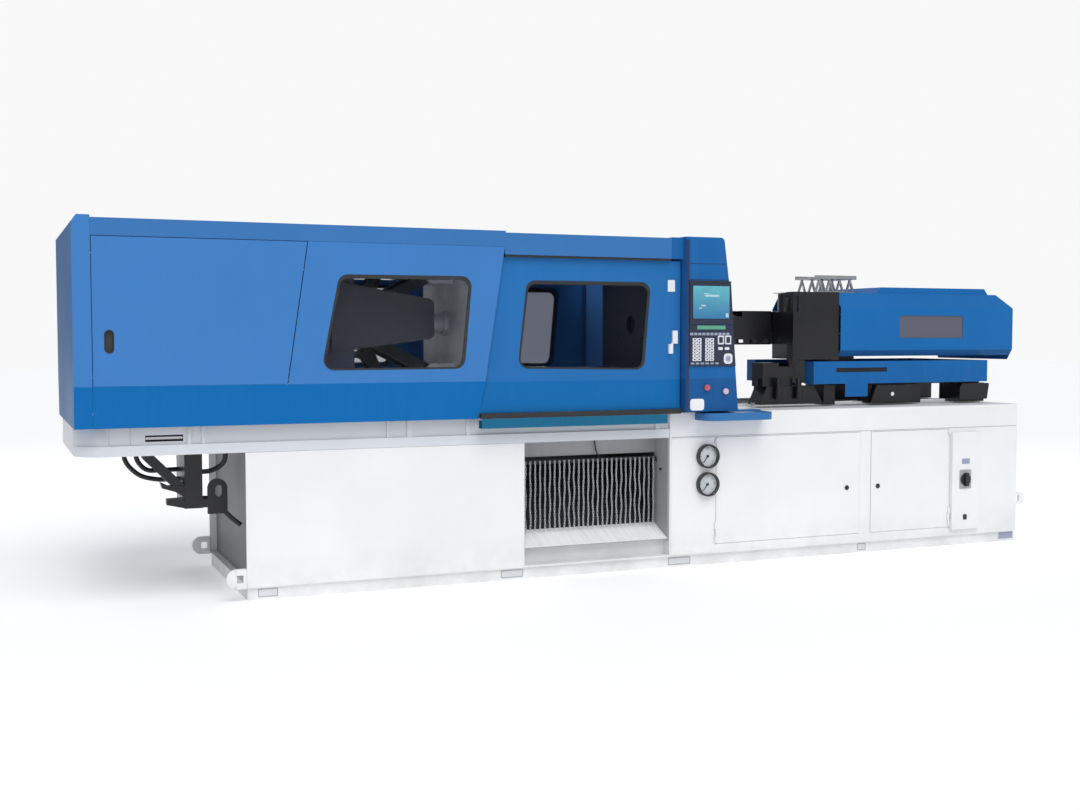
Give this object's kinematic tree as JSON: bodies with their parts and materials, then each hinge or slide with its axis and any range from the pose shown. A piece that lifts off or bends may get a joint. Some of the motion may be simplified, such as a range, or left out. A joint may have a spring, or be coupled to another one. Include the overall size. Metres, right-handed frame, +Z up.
{
  "type": "injection moulding machine",
  "caption": "Horizontal toggle-clamp injection moulding machine with sliding safety gates, an operator panel and a covered injection unit on a white base.",
  "frame": {"origin": "on the floor under the machine centre line, midway between the clamp-end cover and the right end of the base", "axes": "+X from the clamp end to the injection end, +Y away from the operator, +Z up"},
  "size_m": [5.22, 1.26, 1.68],
  "materials": {
    "base_enamel": "smooth off-white stove enamel",
    "bed_enamel": "light grey enamel on the bed and the chute",
    "guard_blue": "textured mid-blue powder coat",
    "rail_teal": "deep teal-blue enamel",
    "window_clear": "clear polycarbonate",
    "window_tinted": "grey tinted polycarbonate",
    "chain_steel": "bright zinc-plated chain",
    "gauge_black": "black case with a white dial",
    "needle_black": "black painted needle",
    "handle_white": "white moulded plastic",
    "panel_film": "dark printed membrane with a teal screen",
    "stop_red": "red moulded plastic",
    "start_green": "pale moulded plastic",
    "platen_casting": "dark painted casting with machined faces",
    "ground_chrome": "ground hard chrome",
    "link_casting": "dark painted steel",
    "cylinder_black": "satin black enamel",
    "barrel_steel": "bright machined steel",
    "hose_rubber": "black rubber hose",
    "motor_grey": "grey enamel"
  },
  "bodies": {
    "root": {"access_panels": "guard_blue", "base_frame": "base_enamel", "bed_hoses": "hose_rubber", "bed_valves": "cylinder_black", "chain_curtain": "chain_steel", "chute_lining": "bed_enamel", "clamp_bed": "bed_enamel", "clamp_end_cover": "guard_blue", "console_column": "guard_blue", "console_tray": "guard_blue", "fixed_windows": "window_clear", "front_fixed_guard": "guard_blue", "gate_rails": "rail_teal", "gauge_cases": "gauge_black", "guard_roof": "guard_blue", "injection_rails": "ground_chrome", "isolator_box": "base_enamel", "lifting_lugs": "base_enamel", "motor_and_pump": "motor_grey", "operator_panel": "panel_film", "rear_fixed_guard": "guard_blue", "stationary_platen": "platen_casting", "tie_bars": "ground_chrome"},
    "left_door": {"left_cabinet_door": "base_enamel"},
    "right_door": {"right_cabinet_door": "base_enamel"},
    "main_switch": {"isolator_handle": "gauge_black"},
    "upper_needle": {"upper_gauge_needle": "needle_black"},
    "lower_needle": {"lower_gauge_needle": "needle_black"},
    "front_gate_body": {"front_gate": "guard_blue", "front_gate_window": "window_tinted", "front_gate_handle": "handle_white"},
    "rear_gate_body": {"rear_gate": "guard_blue", "rear_gate_window": "window_tinted"},
    "stop_key": {"stop_button": "stop_red"},
    "start_key": {"start_button": "start_green"},
    "tail": {"tail_platen": "platen_casting", "adjusting_nuts": "link_casting", "clamp_cylinder": "cylinder_black", "toggle_shrouds": "cylinder_black"},
    "cross": {"crosshead": "platen_casting"},
    "moving": {"moving_platen": "platen_casting"},
    "ejector": {"ejector_rod": "ground_chrome"},
    "upper_rear": {"upper_rear_link": "link_casting"},
    "lower_rear": {"lower_rear_link": "link_casting"},
    "upper_front": {"upper_front_link": "link_casting"},
    "lower_front": {"lower_front_link": "link_casting"},
    "upper_cross": {"upper_cross_link": "link_casting"},
    "lower_cross": {"lower_cross_link": "link_casting"},
    "carriage": {"injection_carriage": "cylinder_black", "front_stand": "cylinder_black", "barrel": "barrel_steel", "heater_bands": "barrel_steel", "barrel_cover": "cylinder_black", "injection_cover": "guard_blue", "lower_cover": "guard_blue", "hopper_plate": "barrel_steel", "injection_cylinders": "cylinder_black"},
    "drive": {"screw_drive": "cylinder_black"},
    "screw": {"injection_screw": "barrel_steel"},
    "hopper": {"hopper_slide": "barrel_steel"}
  },
  "joints": [
    {"name": "left_door_hinge", "type": "hinge", "parent": "root", "child": "left_door", "pos_m": [0.56, -0.5272, 0.384], "axis": [0, 0, -1], "range_deg": [0, 90]},
    {"name": "right_door_hinge", "type": "hinge", "parent": "root", "child": "right_door", "pos_m": [2.06, -0.5272, 0.384], "axis": [0, 0, 1], "range_deg": [0, 95]},
    {"name": "main_switch_turn", "type": "hinge", "parent": "root", "child": "main_switch", "pos_m": [2.16, -0.55, 0.375], "axis": [0, -1, 0], "range_deg": [0, 90]},
    {"name": "upper_needle_turn", "type": "hinge", "parent": "root", "child": "upper_needle", "pos_m": [0.502, -0.537, 0.565], "axis": [0, 1, 0], "range_deg": [0, 270]},
    {"name": "lower_needle_turn", "type": "hinge", "parent": "root", "child": "lower_needle", "pos_m": [0.502, -0.537, 0.421], "axis": [0, 1, 0], "range_deg": [0, 270]},
    {"name": "front_gate_slide", "type": "slide", "parent": "root", "child": "front_gate_body", "axis": [-1, 0, 0], "range_m": [0, 0.56]},
    {"name": "rear_gate_slide", "type": "slide", "parent": "root", "child": "rear_gate_body", "axis": [-1, 0, 0], "range_m": [0, 0.56]},
    {"name": "stop_button_press", "type": "slide", "parent": "root", "child": "stop_key", "axis": [0, 1, 0], "range_m": [0, 0.004], "stiffness_N_per_m": 300},
    {"name": "start_button_press", "type": "slide", "parent": "root", "child": "start_key", "axis": [0, 1, 0], "range_m": [0, 0.004], "stiffness_N_per_m": 300},
    {"name": "mould_height_slide", "type": "slide", "parent": "root", "child": "tail", "axis": [1, 0, 0], "range_m": [0, 0.3]},
    {"name": "clamp_slide", "type": "slide", "parent": "tail", "child": "moving", "axis": [1, 0, 0], "range_m": [0, 0.352]},
    {"name": "crosshead_slide", "type": "slide", "parent": "tail", "child": "cross", "axis": [1, 0, 0], "range_m": [0, 0.26024]},
    {"name": "upper_rear_link_turn", "type": "hinge", "parent": "tail", "child": "upper_rear", "pos_m": [-1.07718, 0, 1.51], "axis": [0, -1, 0], "range_deg": [0, 111.01]},
    {"name": "lower_rear_link_turn", "type": "hinge", "parent": "tail", "child": "lower_rear", "pos_m": [-1.07718, 0, 0.97], "axis": [0, 1, 0], "range_deg": [0, 111.01]},
    {"name": "upper_front_link_turn", "type": "hinge", "parent": "moving", "child": "upper_front", "pos_m": [-0.83, 0, 1.48], "axis": [0, 1, 0], "range_deg": [0, 28.68]},
    {"name": "lower_front_link_turn", "type": "hinge", "parent": "moving", "child": "lower_front", "pos_m": [-0.83, 0, 1], "axis": [0, -1, 0], "range_deg": [0, 28.68]},
    {"name": "upper_cross_link_turn", "type": "hinge", "parent": "cross", "child": "upper_cross", "pos_m": [-1.2611, 0, 1.39], "axis": [0, -1, 0], "range_deg": [0, 52.51]},
    {"name": "lower_cross_link_turn", "type": "hinge", "parent": "cross", "child": "lower_cross", "pos_m": [-1.2611, 0, 1.09], "axis": [0, 1, 0], "range_deg": [0, 52.51]},
    {"name": "ejector_slide", "type": "slide", "parent": "moving", "child": "ejector", "axis": [1, 0, 0], "range_m": [0, 0.1]},
    {"name": "carriage_slide", "type": "slide", "parent": "root", "child": "carriage", "axis": [1, 0, 0], "range_m": [-0.04, 0.2]},
    {"name": "injection_slide", "type": "slide", "parent": "carriage", "child": "drive", "axis": [1, 0, 0], "range_m": [0, 0.18]},
    {"name": "screw_turn", "type": "hinge", "parent": "drive", "child": "screw", "pos_m": [1.61, 0, 1.24], "axis": [1, 0, 0], "continuous": true},
    {"name": "hopper_gate_slide", "type": "slide", "parent": "carriage", "child": "hopper", "axis": [-1, 0, 0], "range_m": [0, 0.15]}
  ],
  "couplings": [
    {"joint": "crosshead_slide", "follows": "clamp_slide", "ratio": 0.73925},
    {"joint": "upper_rear_link_turn", "follows": "clamp_slide", "rad_per_m": 5.5038},
    {"joint": "lower_rear_link_turn", "follows": "clamp_slide", "rad_per_m": 5.5038},
    {"joint": "upper_front_link_turn", "follows": "clamp_slide", "rad_per_m": 1.4221},
    {"joint": "lower_front_link_turn", "follows": "clamp_slide", "rad_per_m": 1.4221},
    {"joint": "upper_cross_link_turn", "follows": "clamp_slide", "rad_per_m": 2.6033},
    {"joint": "lower_cross_link_turn", "follows": "clamp_slide", "rad_per_m": 2.6033}
  ]
}
